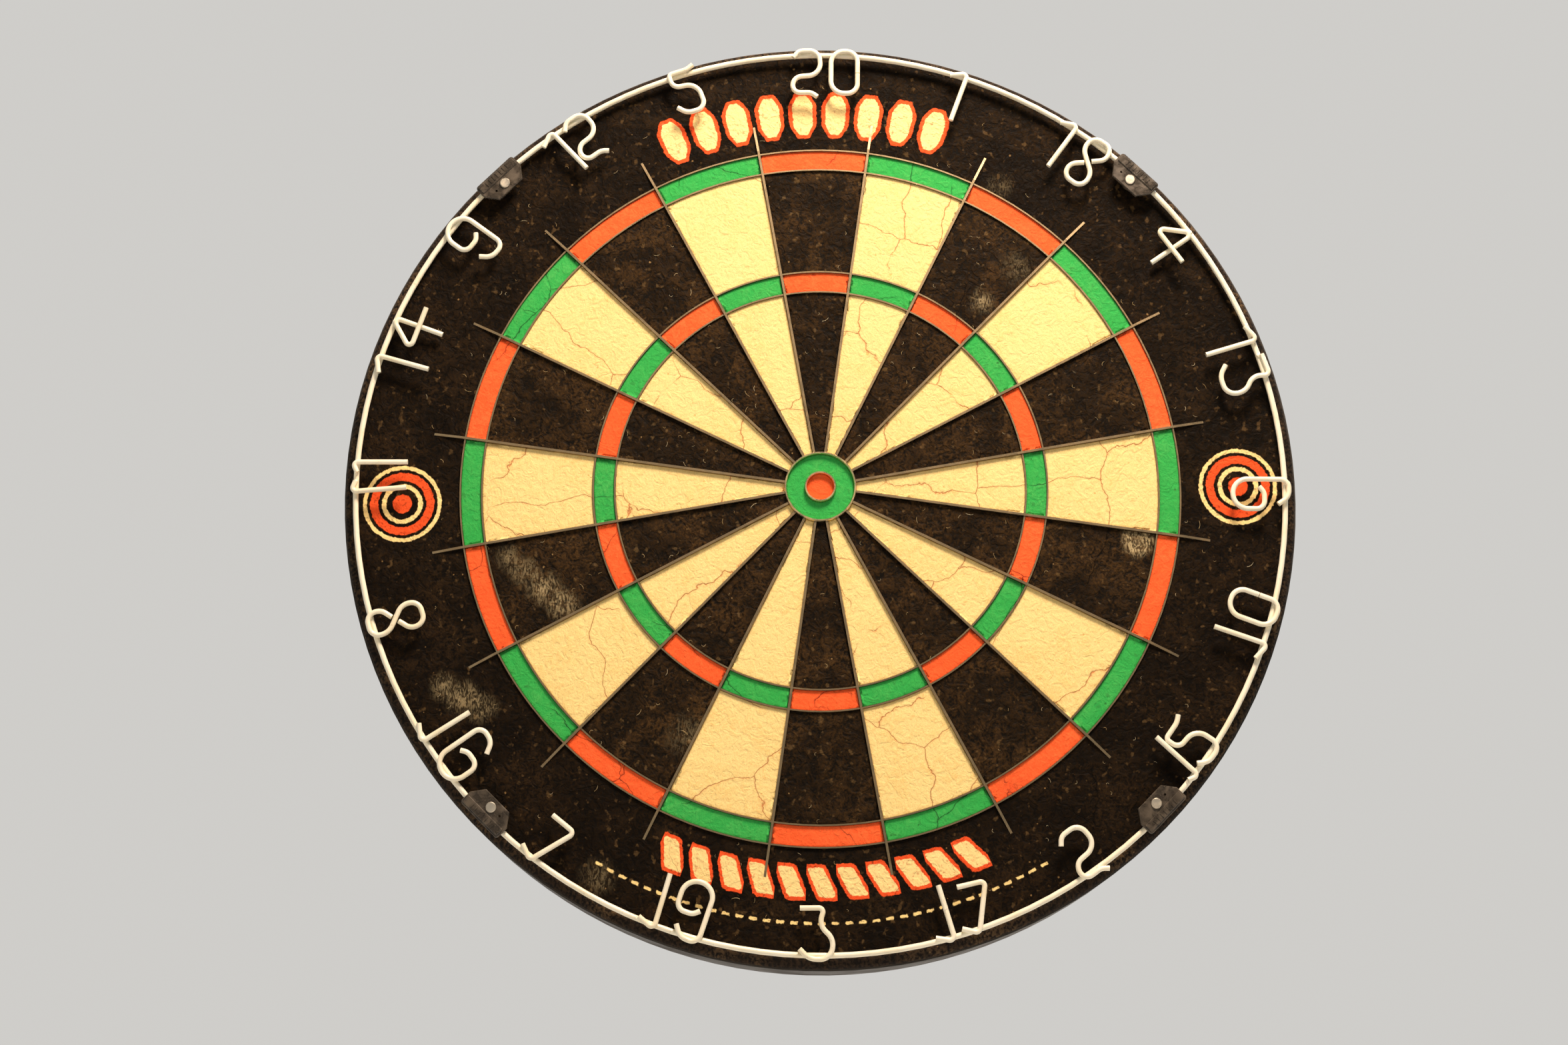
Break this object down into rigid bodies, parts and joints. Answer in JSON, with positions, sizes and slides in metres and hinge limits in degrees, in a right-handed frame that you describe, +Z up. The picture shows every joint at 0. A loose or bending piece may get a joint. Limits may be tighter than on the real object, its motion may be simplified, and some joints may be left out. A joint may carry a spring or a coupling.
{
  "type": "bristle dartboard",
  "caption": "Round bristle dartboard with a steel blade grid and a wire number ring in swivel clips, hung by a screw in a slotted wall bracket.",
  "frame": {"origin": "on the wall plane, at the axis of the hanging screw and of the board", "axes": "+Z up the wall, -Y out of the wall towards the player, +X to the right as the player sees it"},
  "size_m": [0.451, 0.0763, 0.4529],
  "materials": {
    "bracket_steel": "satin black",
    "zinc_screw": "zinc plated",
    "pressed_wood": "raw pressed board",
    "brass": "turned",
    "sisal": "dusty compressed fibre",
    "band_steel": "matt black",
    "black_ink": "printed fibre",
    "cream_ink": "printed fibre",
    "red_ink": "printed fibre",
    "green_ink": "printed fibre",
    "blade_steel": "galvanised strip",
    "bull_wire": "galvanised strip",
    "nail_plate": "nickel plated",
    "pad_rubber": "moulded",
    "wire_enamel": "gloss cream enamel",
    "clip_plastic": "smoky black moulding"
  },
  "bodies": {
    "bracket": {"wall_bracket": "bracket_steel", "bracket_screws": "zinc_screw"},
    "hanger": {"hanging_screw": "zinc_screw"},
    "board": {"backboard": "pressed_wood", "hanger_bush": "brass", "sisal_core": "sisal", "steel_band": "band_steel", "band_clasp": "band_steel", "band_rivets": "zinc_screw", "border_print": "black_ink", "black_print": "black_ink", "cream_print": "cream_ink", "red_print": "red_ink", "green_print": "green_ink", "outer_bull_print": "green_ink", "bull_print": "red_ink", "radial_blades": "blade_steel", "double_outer_ring": "blade_steel", "double_inner_ring": "blade_steel", "treble_outer_ring": "blade_steel", "treble_inner_ring": "blade_steel", "outer_bull_ring": "bull_wire", "bull_ring": "bull_wire", "clip_nails": "nail_plate", "spacer_pads": "pad_rubber", "pad_screws": "zinc_screw"},
    "number_ring": {"number_hoop": "wire_enamel", "number_20": "wire_enamel", "number_1": "wire_enamel", "number_18": "wire_enamel", "number_4": "wire_enamel", "number_13": "wire_enamel", "number_6": "wire_enamel", "number_10": "wire_enamel", "number_15": "wire_enamel", "number_2": "wire_enamel", "number_17": "wire_enamel", "number_3": "wire_enamel", "number_19": "wire_enamel", "number_7": "wire_enamel", "number_16": "wire_enamel", "number_8": "wire_enamel", "number_11": "wire_enamel", "number_14": "wire_enamel", "number_9": "wire_enamel", "number_12": "wire_enamel", "number_5": "wire_enamel"},
    "upper_right_clip": {"clip_upper_right": "clip_plastic"},
    "lower_right_clip": {"clip_lower_right": "clip_plastic"},
    "lower_left_clip": {"clip_lower_left": "clip_plastic"},
    "upper_left_clip": {"clip_upper_left": "clip_plastic"}
  },
  "joints": [
    {"name": "hang_lift", "type": "slide", "parent": "bracket", "child": "hanger", "axis": [0, 0, 1], "range_m": [0, 0.032]},
    {"name": "board_turn", "type": "hinge", "parent": "hanger", "child": "board", "pos_m": [0, 0, 0], "axis": [0, 1, 0], "continuous": true},
    {"name": "number_ring_play", "type": "hinge", "parent": "board", "child": "number_ring", "pos_m": [0, 0, 0], "axis": [0, 1, 0], "range_deg": [-1.5, 0.5]},
    {"name": "clip_upper_right_swivel", "type": "hinge", "parent": "board", "child": "upper_right_clip", "pos_m": [0.15318, -0.052, 0.15001], "axis": [0, 1, 0], "range_deg": [0, 180]},
    {"name": "clip_lower_right_swivel", "type": "hinge", "parent": "board", "child": "lower_right_clip", "pos_m": [0.15001, -0.052, -0.15318], "axis": [0, 1, 0], "range_deg": [0, 180]},
    {"name": "clip_lower_left_swivel", "type": "hinge", "parent": "board", "child": "lower_left_clip", "pos_m": [-0.15318, -0.052, -0.15001], "axis": [0, 1, 0], "range_deg": [0, 180]},
    {"name": "clip_upper_left_swivel", "type": "hinge", "parent": "board", "child": "upper_left_clip", "pos_m": [-0.15001, -0.052, 0.15318], "axis": [0, 1, 0], "range_deg": [0, 180]}
  ]
}
